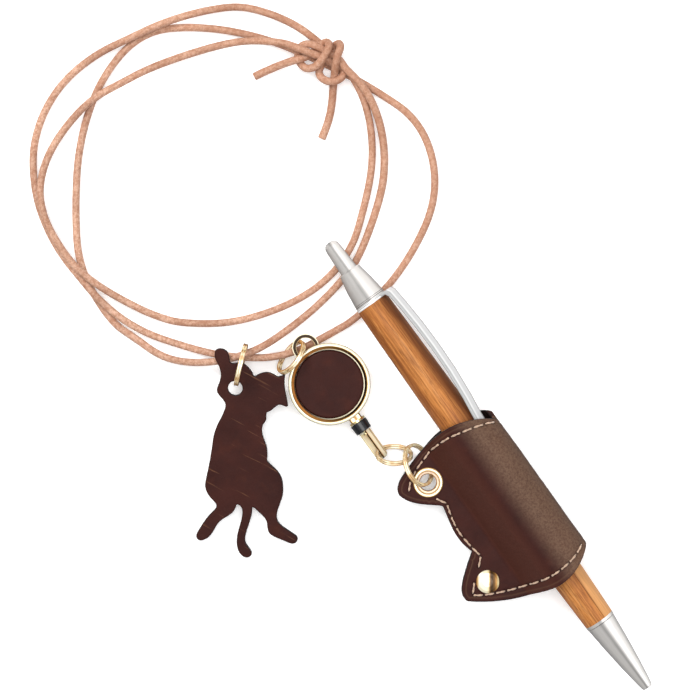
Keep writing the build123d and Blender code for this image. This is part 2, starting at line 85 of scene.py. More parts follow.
def area_light(name, at, size, watts, colour=(1, 1, 1)):
    data = bpy.data.lights.new(name, "AREA")
    data.shape = "RECTANGLE"
    data.size, data.size_y = size
    data.energy, data.color = watts, colour
    light = bpy.data.objects.new(name, data)
    SCENE.collection.objects.link(light)
    light.location = Vector(at)
    aim = LOOK_AT - Vector(at)
    light.rotation_euler = aim.to_track_quat("-Z", "Y").to_euler()


def make_world():
    """White studio air that is dimmer towards the horizon, so that polished metal has contrast."""
    world = bpy.data.worlds.new("studio")
    world.use_nodes = True
    SCENE.world = world
    tree = world.node_tree
    tree.nodes.clear()
    where = tree.nodes.new("ShaderNodeTexCoord")
    split = tree.nodes.new("ShaderNodeSeparateXYZ")
    ramp = tree.nodes.new("ShaderNodeValToRGB")
    air = tree.nodes.new("ShaderNodeBackground")
    out = tree.nodes.new("ShaderNodeOutputWorld")
    stops = [(0.0, 0.55), (0.25, 0.2), (0.46, 0.18), (0.60, 0.75), (0.8, 0.95), (1.0, 0.95)]
    set_ramp(ramp, [(at, (v, v, v)) for at, v in stops])
    tree.links.new(where.outputs["Generated"], split.inputs[0])
    tree.links.new(split.outputs["Z"], ramp.inputs["Fac"])
    tree.links.new(ramp.outputs["Color"], air.inputs["Color"])
    tree.links.new(air.outputs[0], out.inputs["Surface"])
    air.inputs["Strength"].default_value = WORLD_STRENGTH


def set_ramp(node, stops):
    """Gives a colour ramp node its stops, as (place, linear colour)."""
    ramp = node.color_ramp
    while len(ramp.elements) > 1:
        ramp.elements.remove(ramp.elements[-1])
    for i, (at, colour) in enumerate(stops):
        element = ramp.elements[0] if i == 0 else ramp.elements.new(at)
        element.position = at
        element.color = (*colour, 1)


WORLD_STRENGTH = 0.75
SCENE.view_settings.view_transform = "Standard"
make_camera()
make_world()
area_light("key", (-0.10, 0.62, 0.62), (0.35, 0.35), 5.2, (1.0, 0.985, 0.96))
area_light("top", (0.05, 0.0, 1.15), (0.8, 0.8), 7.5)
area_light("fill", (0.55, -0.45, 0.5), (0.5, 0.5), 1.6, (0.95, 0.97, 1.0))

# ---- the cord -------------------------------------------------------------------------------
CORD_D = 2.0 * MM
# One length, from the end under the right knot, through both knots and round three loose turns,
# to the end under the left knot. Control points in millimetres.
CORD_ROUTE = [
    (37, 55.3, 1), (39.5, 56.8, 1), (42.4, 59, 1), (45.1, 61.7, 1.1), (47, 64, 1.9),
    (48.5, 65.7, 2.6), (50.1, 67.5, 4.4), (51.9, 69.4, 6.5), (53.9, 71.0, 6.8), (55.6, 72.2, 5.6),
    (55.8, 73.4, 3.6), (54.0, 73.6, 2.3), (51.0, 72.4, 2.4), (47.9, 71.2, 2.9), (46.5, 70, 3.5),
    (46.4, 67.9, 4.3), (47.9, 65.8, 4.7), (50.3, 65.1, 4.5), (52.1, 65.8, 4), (52.5, 67.4, 3.5),
    (51.6, 69, 4), (50.6, 71, 4.5), (49.5, 73.2, 4.8), (48, 75.3, 5.2), (46.5, 77.5, 5.9),
    (45.2, 79.4, 6.4), (43.5, 82, 5.4), (39, 86, 5), (34, 89.5, 4), (27.5, 92.5, 2.6),
    (19, 95.5, 1.8), (9.5, 98, 2.4), (1, 99, 3.3), (-6.5, 100, 3.4), (-14.5, 99, 2.4),
    (-22.5, 96.5, 1.6), (-28.5, 93, 2.4), (-33.5, 88, 3.4), (-36.5, 81.5, 3.7), (-37.5, 74.5, 4.2),
    (-37.5, 67.5, 5.3), (-36.5, 62, 5.6), (-34.5, 56, 4.4), (-31.5, 49.5, 2.6), (-28, 43, 1.2),
    (-23, 36.5, 1), (-10, 27.5, 1), (9, 22.5, 1), (25, 25, 1), (38, 35.5, 1), (44.5, 42, 1),
    (49.5, 49.5, 1.4), (52.5, 57, 3.1), (53.5, 64, 3.7), (53, 70, 1.7), (51.5, 77.5, 1),
    (49.5, 84, 1), (45.5, 91, 1), (40, 97.5, 1), (32.5, 101.5, 1.2), (25.5, 104, 2.8),
    (18.5, 106, 3.4), (10.5, 107.5, 2.8), (1, 109.5, 1.2), (-10, 109, 1), (-19.5, 105.5, 1),
    (-27, 100, 1), (-32, 93.5, 1), (-36, 85.5, 1.2), (-38, 77, 1.5), (-38.5, 69.5, 2.6),
    (-38, 62.5, 3.4), (-37.5, 55.5, 3.6), (-35.5, 47, 3.5), (-32, 39.5, 2), (-27, 32.5, 1.2),
    (-21, 25, 1.6), (-15, 19.5, 3.1), (-8.5, 14.8, 3), (-1.4, 12.1, 2.2), (7.5, 11, 1.2),
    (17, 10, 1), (36, 14, 1), (54.5, 24.5, 1), (62, 42.5, 1), (56, 59, 1), (49, 72.5, 1),
    (40.5, 86.5, 1.2), (28.5, 99, 1), (14.5, 107.5, 1), (-2.5, 103.5, 1.2), (-17.5, 92.5, 1),
    (-29, 78, 1), (-37, 65, 1), (-38.5, 48.5, 1), (-35.5, 40.5, 1), (-33, 33, 1),
    (-28.5, 27.5, 1.8), (-22, 23, 3.9), (-15, 20, 5.5), (-8, 18.5, 3.7), (1, 18.5, 1.3),
    (9, 19, 1), (18, 20.5, 1), (26.5, 23, 1), (41.5, 33.5, 1), (48, 41, 1), (52, 48.5, 2),
    (54, 56, 4.2), (54, 61.5, 5.6), (53, 66.5, 5.4), (53.2, 69.1, 5.3), (52.8, 71.1, 4.8),
    (51.9, 72.6, 4.6), (51.1, 74.5, 4.6), (50.3, 76.1, 4.8), (49.1, 77.8, 4.5), (47.4, 78.7, 3.7),
    (45.7, 78.2, 3), (44.5, 76.9, 2.7), (44, 74.9, 2.9), (44.5, 72.8, 3.7), (46.2, 71.8, 5.1),
    (48.3, 71.8, 6.4), (50.3, 72.5, 6.8), (52.2, 73.4, 6.6), (53.4, 74.5, 5.2), (53.2, 75.7, 3.6),
    (51.6, 75.8, 2.8), (49.5, 75.5, 2.8), (47.3, 75.5, 2.9), (45.5, 75.7, 4), (43.7, 76.3, 4.7),
    (41.7, 77.1, 3.8), (39.1, 78, 2.5), (36.5, 78.7, 1.4), (33.9, 79.3, 1), (31.9, 79.6, 1),
]


def make_cord():
    data = bpy.data.curves.new("neck_strap", "CURVE")
    data.dimensions = "3D"
    line = data.splines.new("NURBS")
    line.points.add(len(CORD_ROUTE) - 1)
    for i, (point, (x, y, z)) in enumerate(zip(line.points, CORD_ROUTE)):
        point.co = (x * MM, y * MM, z * MM, 1)
        spot = Vector((x, y, z)) * 0.09
        knotted = i < 26 or i > len(CORD_ROUTE) - 34
        point.radius = (1.08 if knotted else 1.0) + 0.05 * noise.noise(spot)
    line.order_u = 3
    line.use_endpoint_u = True
    line.resolution_u = 10
    data.bevel_depth = CORD_D / 2
    data.bevel_resolution = 5
    data.use_fill_caps = True
    cord = bpy.data.objects.new("neck_strap", data)
    SCENE.collection.objects.link(cord)
    return cord


# ---- materials ------------------------------------------------------------------------------
PEN_X, PEN_Z = 22.1 * MM, 7.3 * MM
CLIP_LEAN = math.radians(28)
HAIRLINE = 0.004 * MM
DENTS = 0.006 * MM


def tint(red, green, blue):
    """An sRGB colour, 0 to 255, as linear light."""
    made = []
    for value in (red, green, blue):
        share = value / 255
        made.append(share / 12.92 if share <= 0.04045 else ((share + 0.055) / 1.055) ** 2.4)
    return tuple(made)


class Paint:
    """A node material that is built from short calls. Distances are in metres."""

    def __init__(self, name):
        self.material = bpy.data.materials.new(name)
        self.material.use_nodes = True
        self.tree = self.material.node_tree
        self.tree.nodes.clear()
        self.place = self.node("ShaderNodeTexCoord").outputs["Object"]
        self.skin = self.node("ShaderNodeBsdfPrincipled")
        out = self.node("ShaderNodeOutputMaterial")
        self.tree.links.new(self.skin.outputs[0], out.inputs["Surface"])

    def node(self, kind, inputs=None, **settings):
        made = self.tree.nodes.new(kind)
        for key, value in settings.items():
            setattr(made, key, value)
        for key, value in (inputs or {}).items():
            self.put(made.inputs[key], value)
        return made

    def put(self, socket, value):
        if isinstance(value, bpy.types.NodeSocket):
            self.tree.links.new(value, socket)
        elif socket.type == "RGBA" and len(value) == 3:
            socket.default_value = (*value, 1)
        else:
            socket.default_value = value

    def set(self, **inputs):
        for key, value in inputs.items():
            self.put(self.skin.inputs[key.replace("_", " ")], value)

    def stretched(self, scale, turned=0.0):
        """The place, first turned about Z and then scaled along each axis."""
        place = self.place
        if turned:
            inputs = {"Vector": place, "Rotation": (0, 0, turned)}
            place = self.node("ShaderNodeMapping", inputs).outputs[0]
        return self.node("ShaderNodeMapping", {"Vector": place, "Scale": scale}).outputs[0]

    def noise(self, size, detail=3, rough=0.55, place=None):
        """Soft noise whose lumps are about `size` across, from 0 to 1."""
        inputs = {"Vector": place or self.place, "Scale": 1 / size, "Detail": detail}
        return self.node("ShaderNodeTexNoise", {**inputs, "Roughness": rough}).outputs["Fac"]

    def cells(self, size, place=None):
        """The distance to the middle of the nearest cell, for cells about `size` across."""
        inputs = {"Vector": place or self.place, "Scale": 1 / size}
        return self.node("ShaderNodeTexVoronoi", inputs).outputs["Distance"]

    def ramp(self, value, *stops):
        found = self.node("ShaderNodeValToRGB", {"Fac": value})
        set_ramp(found, [(at, c if isinstance(c, tuple) else (c, c, c)) for at, c in stops])
        return found.outputs["Color"]

    def mix(self, share, a, b, way="MIX"):
        found = self.node("ShaderNodeMix", data_type="RGBA", blend_type=way)
        for socket, value in ((0, share), (6, a), (7, b)):
            self.put(found.inputs[socket], value)
        return found.outputs[2]

    def maths(self, way, a, b=0.0):
        return self.node("ShaderNodeMath", {0: a, 1: b}, operation=way).outputs[0]

    def along(self, axis, of=None):
        """One coordinate of the surface point, or of another vector."""
        return self.node("ShaderNodeSeparateXYZ", {0: of or self.place}).outputs[axis]

    def between(self, value, low, high):
        """A value's share of the way from low to high, held between 0 and 1."""
        inputs = {"Value": value, "From Min": low, "From Max": high}
        return self.node("ShaderNodeMapRange", inputs).outputs[0]

    def facing(self):
        """0 where a turned pen part faces -X, 1 where it faces +X."""
        ways = self.node("ShaderNodeTexCoord").outputs["Normal"]
        return self.between(self.along(0, ways), -1.0, 1.0)

    def mark(self, name):
        """A mesh attribute of one value, such as how near a cut edge a point is."""
        return self.node("ShaderNodeAttribute", attribute_name=name).outputs["Fac"]

    def bump(self, *layers):
        """Raises the surface by (height 0 to 1, metres) layers, one on another."""
        normal = None
        for height, metres in layers:
            inputs = {"Height": height, "Distance": metres, "Strength": 1.0}
            if normal is not None:
                inputs["Normal"] = normal
            normal = self.node("ShaderNodeBump", inputs).outputs[0]
        self.put(self.skin.inputs["Normal"], normal)


def cord_leather():
    """Vegetable tanned lace: pale, dry and finely speckled, with longer darker stretches."""
    p = Paint("tan_cord_leather")
    pale, mid, deep = tint(208, 169, 146), tint(174, 127, 101), tint(120, 76, 54)
    stretch = p.ramp(p.noise(14 * MM, 2), (0.40, 0.0), (0.66, 1.0))
    speck = p.ramp(p.noise(0.8 * MM, 4, 0.75), (0.42, 0.0), (0.58, 1.0))
    base = p.mix(speck, mid, pale)
    base = p.mix(p.maths("MULTIPLY", stretch, 0.42), base, deep)
    pores = p.ramp(p.noise(0.5 * MM, 3, 0.7), (0.34, 1.0), (0.42, 0.0))
    base = p.mix(p.maths("MULTIPLY", pores, 0.5), base, deep)
    # The cord turns a deeper orange towards +X.
    toward_plus_x = p.between(p.along(0), -25 * MM, 60 * MM)
    base = p.mix(p.maths("MULTIPLY", toward_plus_x, 0.4), base, tint(164, 112, 84))
    p.set(Base_Color=base, Roughness=0.66)
    p.put(p.skin.inputs["Specular IOR Level"], 0.3)
    p.bump((p.noise(0.9 * MM, 3), 0.10 * MM), (p.noise(0.22 * MM, 3, 0.7), 0.05 * MM))
    return p.material


def dark_leather(name, scratched=False):
    """Waxed dark brown leather. Marks on the mesh give cut edges, inside, crease, fold wear with
    painted sheen, painted light on sloping faces and painted shade in stitch holes.
    """
    p = Paint(name)
    body, deep, red = tint(58, 27, 22), tint(46, 21, 18), tint(68, 32, 22)
    cloud = p.ramp(p.noise(9 * MM, 4, 0.6), (0.3, 0.0), (0.7, 1.0))
    base = p.mix(cloud, deep, body)
    blush = p.ramp(p.noise(4 * MM, 3), (0.55, 0.0), (0.8, 1.0))
    base = p.mix(p.maths("MULTIPLY", blush, 0.5), base, red)
    grain = p.ramp(p.noise(0.55 * MM, 3, 0.7), (0.36, 0.5), (0.62, 1.0))
    # Painted sheen with some wear: the rounded top of the fold over the pen is lightened through
    # the grain.
    base = p.mix(p.maths("MULTIPLY", p.mark("wear_and_painted_sheen"), grain), base, tint(108, 84, 68))
    if scratched:
        along = p.stretched((55, 1300, 500), math.radians(63.6))
        streak = p.ramp(p.noise(1.0, 3, 0.6, along), (0.62, 0.0), (0.69, 1.0))
        patch = p.ramp(p.noise(11 * MM, 2), (0.42, 0.0), (0.58, 1.0))
        scratch = p.maths("MULTIPLY", streak, p.maths("MULTIPLY", patch, 0.5))
        base = p.mix(scratch, base, tint(140, 98, 70))
    # Painted light: faces sloping towards -X are lightened to even out their shading.
    base = p.mix(p.maths("MULTIPLY", p.mark("painted_slope_light"), 0.75), base, tint(74, 42, 34))
    base = p.mix(p.mark("inside"), base, tint(34, 24, 22))
    edge = p.mark("edge")
    base = p.mix(edge, base, p.mix(p.noise(1.2 * MM, 3), tint(14, 18, 22), tint(44, 54, 58)))
    base = p.mix(p.mark("crease"), base, tint(104, 78, 58))
    # Painted shade in the stitch holes.
    base = p.mix(p.mark("stitch_hole_shade"), base, tint(14, 8, 8))
    gloss = p.maths("ADD", p.maths("MULTIPLY", p.noise(2.5 * MM, 3), 0.2), 0.46)
    gloss = p.maths("SUBTRACT", gloss, p.maths("MULTIPLY", edge, 0.16))
    p.set(Base_Color=base, Roughness=gloss)
    p.put(p.skin.inputs["Specular IOR Level"], 0.09)
    pebble = p.ramp(p.cells(0.42 * MM), (0.0, 1.0), (0.9, 0.0))
    wrinkle = p.noise(1.0, 4, 0.65, p.stretched((420, 420, 420)))
    p.bump((wrinkle, 0.07 * MM), (pebble, 0.03 * MM), (p.noise(0.16 * MM, 2), 0.012 * MM))
    return p.material


def metal(name, colour, roughness, dull=None, brushed=(900, 900, 900)):
    """Plated metal with faint handling marks, or brushed along the two finer axes."""
    p = Paint(name)
    shade = p.ramp(p.noise(3 * MM, 3), (0.3, 0.0), (0.7, 1.0))
    base = p.mix(shade, colour, dull or tuple(c * 0.9 for c in colour))
    hair = p.noise(1.0, 3, 0.7, p.stretched(brushed))
    smooth = p.maths("ADD", p.maths("MULTIPLY", hair, 0.05), roughness)
    p.set(Base_Color=base, Metallic=1.0, Roughness=smooth)
    p.bump((hair, HAIRLINE))
    return p.material


def satin(name, rings=()):
    """Satin plating with painted shading and reflections set by which way the surface faces, in
    lighter and darker bands along the part, and turned rings (place, width).
    """
    p = Paint(name)
    # Painted light and shade: the tone is set by which way the surface faces.
    painted_facing_light = p.ramp(
        p.facing(), (0.0, 0.2), (0.06, 0.38), (0.2, 0.52), (0.34, 0.44), (0.44, 0.22),
        (0.50, 0.27), (0.62, 0.82), (0.86, 0.84), (0.94, 0.56), (1.0, 0.30),
    )
    base = p.mix(0.5, painted_facing_light, p.mix(1.0, painted_facing_light, tint(252, 244, 236), "MULTIPLY"))
    for place, width in rings:
        off = p.maths("ABSOLUTE", p.maths("SUBTRACT", p.along(1), place))
        base = p.mix(p.between(off, width, width * 0.4), base, (0.12, 0.11, 0.10))
    hair = p.noise(1.0, 3, 0.7, p.stretched((900, 9000, 900)))
    specks = p.ramp(p.noise(0.8 * MM, 2), (0.2, 1.0), (0.24, 0.0))
    base = p.mix(p.maths("MULTIPLY", specks, 0.5), base, (0.1, 0.1, 0.1))
    smooth = p.maths("ADD", p.maths("MULTIPLY", hair, 0.1), 0.36)
    p.set(Base_Color=base, Metallic=0.35, Roughness=smooth)
    p.bump((hair, HAIRLINE))
    return p.material


def clip_metal():
    """Polished pressed strip, with painted reflections: a dark inner edge, a bright face and a
    paler outer bevel, and painted bands on the collar.
    """
    p = Paint("clip_metal")
    x = p.maths("SUBTRACT", p.along(0), PEN_X)
    z = p.maths("SUBTRACT", p.along(2), PEN_Z)
    rise = p.maths("MULTIPLY", z, math.cos(CLIP_LEAN))
    across = p.maths("SUBTRACT", rise, p.maths("MULTIPLY", x, math.sin(CLIP_LEAN)))
    # Painted reflections across the strip: dark, bright and pale bands.
    strip = p.ramp(
        p.between(across, -2.4 * MM, 2.4 * MM), (0.0, 0.2), (0.06, 0.42), (0.14, 0.5), (0.2, 0.76),
        (0.44, 0.72), (0.58, 0.78), (0.68, 0.95), (0.78, 0.9), (0.86, 0.52), (1.0, 0.46),
    )
    # Painted reflections and dark lines on the collar.
    collar = p.ramp(
        p.between(p.along(1), 10.8 * MM, 11.8 * MM), (0.0, 0.15), (0.1, 0.8), (0.5, 0.95),
        (0.62, 0.12), (0.76, 0.85), (0.9, 0.8), (1.0, 0.1),
    )
    far = p.maths("ADD", p.maths("MULTIPLY", x, x), p.maths("MULTIPLY", z, z))
    base = p.mix(p.between(far, (4.9 * MM) ** 2, (5.0 * MM) ** 2), collar, strip)
    hair = p.noise(1.0, 3, 0.7, p.stretched((900, 900, 900)))
    smooth = p.maths("ADD", p.maths("MULTIPLY", hair, 0.06), 0.2)
    p.set(Base_Color=base, Metallic=0.2, Roughness=smooth)
    p.bump((hair, HAIRLINE))
    return p.material


def ringed_gold(name, centre, reach, *stops, other=None, metallic=0.35, roughness=0.24, gloss=0.5):
    """Gold plating with painted highlights, reflections and shade in rings about an upright axis,
    and another painted set on the far side.
    """
    p = Paint(name)
    x = p.maths("SUBTRACT", p.along(0), centre[0] * MM)
    y = p.maths("SUBTRACT", p.along(1), centre[1] * MM)
    far = p.maths("SQRT", p.maths("ADD", p.maths("MULTIPLY", x, x), p.maths("MULTIPLY", y, y)))
    share = p.between(far, reach[0] * MM, reach[1] * MM)
    # The stops are painted highlights, reflections and shade.
    base = p.ramp(share, *stops)
    if other:
        right = p.maths("SUBTRACT", p.maths("MULTIPLY", x, 0.81), p.maths("MULTIPLY", y, 0.58))
        base = p.mix(p.between(right, -6 * MM, 6 * MM), base, p.ramp(share, *other))
    p.set(Base_Color=base, Metallic=metallic, Roughness=roughness)
    p.put(p.skin.inputs["Specular IOR Level"], gloss)
    p.bump((p.noise(0.6 * MM, 3), DENTS))
    return p.material


def striped_gold(name, centre, way, reach, *stops):
    """Gold plating with stripes of painted reflection and shade across one direction, as on a
    polished bar.
    """
    p = Paint(name)
    x = p.maths("SUBTRACT", p.along(0), centre[0] * MM)
    y = p.maths("SUBTRACT", p.along(1), centre[1] * MM)
    across = p.maths("ADD", p.maths("MULTIPLY", x, way[0]), p.maths("MULTIPLY", y, way[1]))
    base = p.ramp(p.between(across, reach[0] * MM, reach[1] * MM), *stops)
    p.set(Base_Color=base, Metallic=0.35, Roughness=0.22)
    p.bump((p.noise(0.6 * MM, 3), DENTS))
    return p.material


def wire_gold():
    """Gold wire, with painted reflections: the light and dark lines that run round polished wire
    seen from above, set by which way the surface faces.
    """
    p = Paint("wire_gold")
    up = p.along(2, p.node("ShaderNodeTexCoord").outputs["Normal"])
    # Painted reflections: pale and dark lines by which way the surface faces.
    base = p.ramp(
        up, (0.0, BROWN), (0.3, BROWN), (0.42, WARM), (0.5, PALE), (0.66, GOLD), (0.72, BROWN),
        (0.78, WARM), (0.84, PALE), (1.0, PALE),
    )
    patch = p.ramp(p.noise(3 * MM, 3), (0.45, 0.0), (0.62, 0.7))
    base = p.mix(patch, base, WARM)
    p.set(Base_Color=base, Metallic=0.3, Roughness=0.22)
    p.bump((p.noise(0.6 * MM, 3), DENTS))
    return p.material


def plastic(name, colour, roughness, grain):
    p = Paint(name)
    shade = p.ramp(p.noise(2 * MM, 3), (0.3, 0.0), (0.7, 1.0))
    p.set(Base_Color=p.mix(shade, colour, tuple(c * 0.82 for c in colour)), Roughness=roughness)
    p.bump((p.noise(0.3 * MM, 3, 0.6), grain))
    return p.material


def barrel_wood():
    """Lacquered orange brown wood, with long grain and short dark pores, a painted shadow of the
    clip on the upper barrel and painted light on one side of the lower barrel.
    """
    p = Paint("barrel_wood")
    long_grain = p.noise(1.0, 6, 0.68, p.stretched((420, 22, 420)))
    fine = p.noise(1.0, 5, 0.75, p.stretched((2400, 90, 2400)))
    base = p.ramp(
        long_grain, (0.30, tint(120, 68, 32)), (0.44, tint(166, 102, 52)),
        (0.56, tint(188, 122, 62)), (0.72, tint(206, 146, 88)),
    )
    base = p.mix(p.ramp(fine, (0.38, 0.75), (0.56, 0.0)), base, tint(112, 62, 30))
    pores = p.cells(1.0, p.stretched((1700, 150, 1700)))
    base = p.mix(p.ramp(pores, (0.08, 0.6), (0.2, 0.0)), base, tint(84, 46, 24))
    side = p.facing()
    # Painted shadow of the clip: on the upper barrel the +X side is darkened, and the -X edge a
    # little.
    clip_shadow_zone = p.between(p.along(1), -34 * MM, -30 * MM)
    shade = p.ramp(side, (0.0, 0.1), (0.06, 0.0), (0.62, 0.0), (0.78, 0.6), (0.9, 0.75), (1.0, 0.5))
    base = p.mix(p.maths("MULTIPLY", shade, clip_shadow_zone), base, tint(92, 54, 34))
    # Painted light: on the lower barrel the +X side is lightened.
    light = p.ramp(side, (0.66, 0.0), (0.74, 0.55), (1.0, 0.55))
    below = p.maths("SUBTRACT", 1.0, clip_shadow_zone)
    base = p.mix(p.maths("MULTIPLY", light, below), base, tint(222, 168, 112))
    vein = p.ramp(side, (0.655, 0.0), (0.665, 0.8), (0.675, 0.8), (0.685, 0.0))
    base = p.mix(p.maths("MULTIPLY", vein, below), base, tint(84, 46, 24))
    p.set(Base_Color=base, Roughness=0.55, Coat_Weight=0.12, Coat_Roughness=0.35)
    p.put(p.skin.inputs["Specular IOR Level"], 0.12)
    p.bump((fine, 0.02 * MM))
    return p.material


def thread():
    p = Paint("beige_thread")
    fibre = p.noise(1.0, 4, 0.7, p.stretched((5200, 5200, 5200)))
    base = p.mix(p.ramp(fibre, (0.35, 0.0), (0.65, 1.0)), tint(158, 126, 102), tint(212, 184, 160))
    p.set(Base_Color=base, Roughness=0.7, Sheen_Weight=0.3)
    p.bump((fibre, 0.02 * MM))
    return p.material


def braid():
    p = Paint("black_line")
    weave = p.cells(0.22 * MM)
    p.set(Base_Color=p.mix(weave, tint(18, 18, 20), tint(48, 47, 46)), Roughness=0.7)
    p.bump((weave, 0.04 * MM))
    return p.material


# PALE, WARM, BROWN and DARK serve as painted highlights, reflections and shade in the gold ramps;
# GOLD is also the plain plating colour.
GOLD = tint(250, 230, 178)
PALE, WARM = tint(255, 246, 214), tint(206, 152, 84)
BROWN, DARK = tint(120, 84, 46), tint(54, 38, 22)
MATERIALS = {
    "tan_cord_leather": cord_leather(),
    "dark_leather": dark_leather("dark_leather"),
    "scratched_leather": dark_leather("scratched_leather", scratched=True),
    "beige_thread": thread(),
    "gold_metal": metal("gold_metal", GOLD, 0.09, tint(238, 206, 142)),
    "black_plastic": plastic("black_plastic", tint(24, 24, 27), 0.22, 0.008 * MM),
    "black_line": braid(),
    "white_plastic": plastic("white_plastic", tint(226, 225, 220), 0.5, 0.02 * MM),
    "spring_steel": metal("spring_steel", tint(176, 176, 180), 0.25, brushed=(60, 2200, 2200)),
    "satin_metal": satin("satin_metal"),
    "polished_metal": metal("polished_metal", tint(232, 230, 228), 0.06),
    "upper_cone": satin("ringed_satin", [(12.15 * MM, 0.12 * MM), (12.6 * MM, 0.09 * MM)]),
    "pen_plunger": satin("plunger_satin"),
    "nose_cone": satin("nose_satin", [(-94.4 * MM, 0.1 * MM)]),
    "pen_clip": clip_metal(),
    "charm_ring": wire_gold(),
    "lug_ring": ringed_gold(
        "lug_gold", (0.6, 11.8), (2.5, 3.7), (0.0, GOLD), (0.1, GOLD), (0.16, DARK), (0.72, DARK),
        (0.8, PALE), (1.0, PALE), metallic=0.0, roughness=0.4, gloss=0.12,
    ),
    "reel_bezel": ringed_gold(
        "bezel_gold", (0, 0), (9.2, 11.2), (0.0, DARK), (0.12, DARK), (0.2, WARM), (0.42, WARM),
        (0.48, BROWN), (0.54, PALE), (0.86, PALE), (0.93, BROWN), (1.0, BROWN),
        other=[(0.0, PALE), (0.14, PALE), (0.18, DARK), (0.42, DARK), (0.5, WARM), (0.6, GOLD),
               (0.66, PALE), (0.88, PALE), (0.94, BROWN), (1.0, BROWN)],
        metallic=0.3,
    ),
    "eyelet_front": ringed_gold(
        "eyelet_gold", (6.2, -37.0), (2.2, 4.1), (0.0, BROWN), (0.08, WARM),
        (0.14, tint(236, 208, 180)), (0.34, tint(236, 208, 180)), (0.42, BROWN),
        (0.50, BROWN), (0.56, GOLD), (0.66, PALE),
        (0.82, GOLD), (0.92, WARM), (1.0, BROWN),
    ),
    "rivet_cap": striped_gold(
        "rivet_gold", (3.7, -68.1), (0.81, -0.58), (-3.2, 3.2), (0.0, BROWN), (0.06, WARM),
        (0.12, PALE), (0.44, PALE), (0.52, GOLD), (0.58, BROWN), (0.66, DARK), (0.78, BROWN),
        (0.86, WARM), (0.93, GOLD), (1.0, BROWN),
    ),
    "swivel_strap": striped_gold(
        "strap_gold", (0.3, 0), (1, 0), (-1.75, 1.75), (0.0, BROWN), (0.05, GOLD), (0.14, PALE),
        (0.38, PALE), (0.44, GOLD), (0.49, DARK), (0.56, DARK), (0.60, WARM), (0.64, PALE),
        (0.84, PALE), (0.89, BROWN), (0.94, GOLD), (1.0, BROWN),
    ),
    "outlet_nozzle": striped_gold(
        "nozzle_gold", (0.3, 0), (1, 0), (-1.7, 1.7), (0.0, BROWN), (0.08, WARM), (0.2, GOLD),
        (0.36, PALE), (0.44, WARM), (0.54, BROWN), (0.62, WARM), (0.74, PALE), (0.86, GOLD),
        (0.94, BROWN), (1.0, BROWN),
    ),
    "barrel_wood": barrel_wood(),
    "brass_tube": metal("brass_tube", tint(206, 172, 104), 0.25),
    "refill_plastic": plastic("refill_plastic", tint(40, 40, 46), 0.35, 0.01 * MM),
}
for ring in ("cord_ring", "pull_ring", "eyelet_ring"):
    MATERIALS[ring] = MATERIALS["charm_ring"]


def finish_cad_nodes():
    """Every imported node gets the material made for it, or else its slot's."""
    for part in frame["record"]["subparts"]:
        node = NODES[part["node"]]
        node.data.materials.clear()
        chosen = part["node"] if part["node"] in MATERIALS else part["material_slot"]
        node.data.materials.append(MATERIALS[chosen])


# ---- helpers for shapes -----------------------------------------------------------------------
def add_piece(name, mesh, body, slot, material=None, replaces=()):
    """Links a finished mesh as a piece that rides on a body."""
    piece = bpy.data.objects.new(name, mesh)
    SCENE.collection.objects.link(piece)
    mesh.materials.clear()
    mesh.materials.append(MATERIALS[material or slot])
    mesh.shade_smooth()
    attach(piece, body)
    if replaces:
        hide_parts(*replaces)
    return piece


def vertices_of(mesh):
    spots = np.zeros(len(mesh.vertices) * 3)
    mesh.vertices.foreach_get("co", spots)
    return spots.reshape(-1, 3)


def normals_of(mesh):
    ways = np.zeros(len(mesh.vertices) * 3, np.float32)
    mesh.vertex_normals.foreach_get("vector", ways)
    return ways.reshape(-1, 3)


def set_mark(mesh, name, values):
    found = mesh.attributes.new(name, "FLOAT", "POINT")
    found.data.foreach_set("value", np.asarray(values, np.float32))


def skin_of(nodes, voxel, smoothing):
    """One closed, evenly meshed skin round CAD nodes, with its edges slightly softened."""
    joined = bmesh.new()
    for node in nodes:
        joined.from_mesh(NODES[node].data)
    rough = bpy.data.meshes.new("rough")
    joined.to_mesh(rough)
    joined.free()
    holder = bpy.data.objects.new("rough", rough)
    SCENE.collection.objects.link(holder)
    remesh = holder.modifiers.new("voxels", "REMESH")
    remesh.mode, remesh.voxel_size = "VOXEL", voxel
    soften = holder.modifiers.new("soften", "SMOOTH")
    soften.factor, soften.iterations = 0.5, smoothing
    graph = bpy.context.evaluated_depsgraph_get()
    mesh = bpy.data.meshes.new_from_object(holder.evaluated_get(graph))
    bpy.data.objects.remove(holder)
    bpy.data.meshes.remove(rough)
    return mesh


def tube_mesh(build, path, radius, sides):
    """Adds a capped round tube along a path of points to a bmesh."""
    rings = []
    side = None
    for i, here in enumerate(path):
        way = (path[min(i + 1, len(path) - 1)] - path[max(i - 1, 0)]).normalized()
        if side is None:
            side = way.orthogonal().normalized()
        side = (side - way * side.dot(way)).normalized()
        up = way.cross(side)
        ring = []
        for k in range(sides):
            angle = 2 * math.pi * k / sides
            out = side * (math.cos(angle) * radius) + up * (math.sin(angle) * radius)
            ring.append(build.verts.new(here + out))
        rings.append(ring)
    for a, b in zip(rings, rings[1:]):
        for k in range(sides):
            build.faces.new((a[k], a[(k + 1) % sides], b[(k + 1) % sides], b[k]))
    build.faces.new(list(reversed(rings[0])))
    build.faces.new(rings[-1])


# ---- leather pieces ---------------------------------------------------------------------------
CREASE_INSET = 1.15 * MM
CHARM_UP = (-0.0644, -0.0899, 0.9939)
LOWEST = 0.02 * MM


